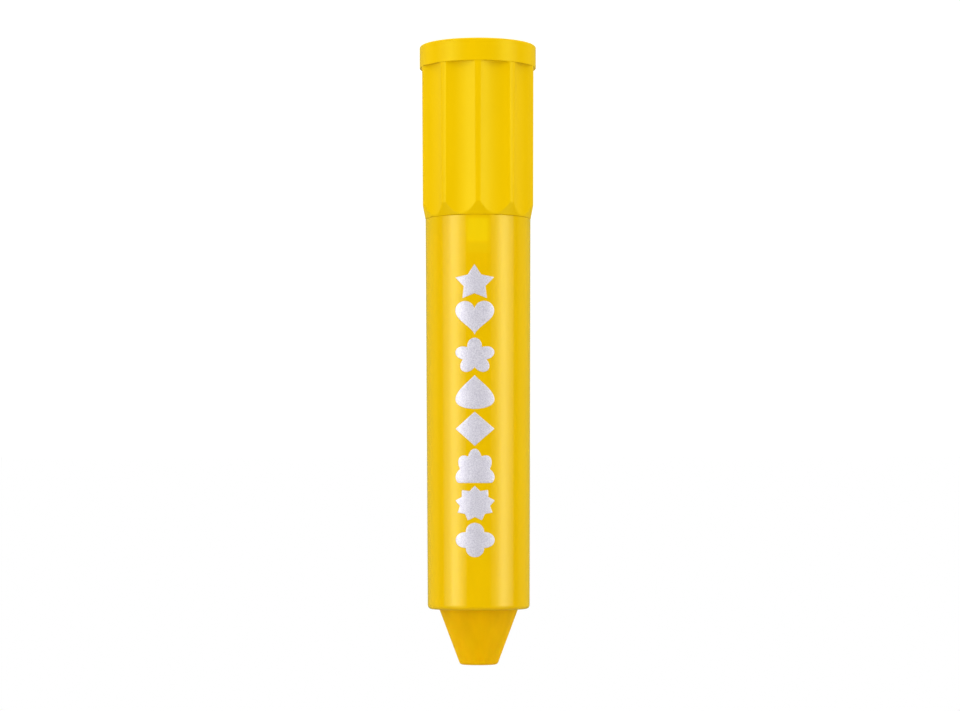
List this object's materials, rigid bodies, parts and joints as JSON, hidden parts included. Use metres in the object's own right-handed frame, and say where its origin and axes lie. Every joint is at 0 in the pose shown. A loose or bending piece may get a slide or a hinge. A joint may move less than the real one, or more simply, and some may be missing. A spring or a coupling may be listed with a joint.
{
  "type": "twist-up crayon",
  "caption": "Chubby twist-up wax crayon: translucent round barrel, fluted twist knob with a plain rim, and a blunt conical wax tip fed out by an internal screw.",
  "frame": {"origin": "centre of the knob's flat end face, which the crayon stands on", "axes": "+Z along the crayon's axis towards its drawing tip; the printed front of the barrel and one land of the knob face -Y"},
  "size_m": [0.0162, 0.0162, 0.0854],
  "materials": {
    "barrel_plastic": "translucent yellow, glossy",
    "knob_plastic": "yellow, satin",
    "white_plastic": "plain white, moulded",
    "feed_plastic": "pale yellow, moulded",
    "drag_rubber": "matt",
    "silver_print": "silver ink, satin",
    "wax": "waxy, orange yellow"
  },
  "bodies": {
    "barrel": {"barrel": "barrel_plastic"},
    "knob": {"twist_knob": "knob_plastic", "end_plug": "knob_plastic", "lead_screw": "white_plastic", "drag_ring": "drag_rubber"},
    "carrier": {"drive_nut": "feed_plastic", "core_cup": "feed_plastic", "wax_core": "wax"}
  },
  "joints": [
    {"name": "core_feed", "type": "slide", "parent": "barrel", "child": "carrier", "axis": [0, 0, 1], "range_m": [-0.009, 0.043]},
    {"name": "knob_twist", "type": "hinge", "parent": "barrel", "child": "knob", "pos_m": [0, 0, 0], "axis": [0, 0, 1], "range_deg": [-810.5, 3870.5]}
  ],
  "couplings": [
    {"joint": "knob_twist", "follows": "core_feed", "rad_per_m": 1570.8}
  ]
}
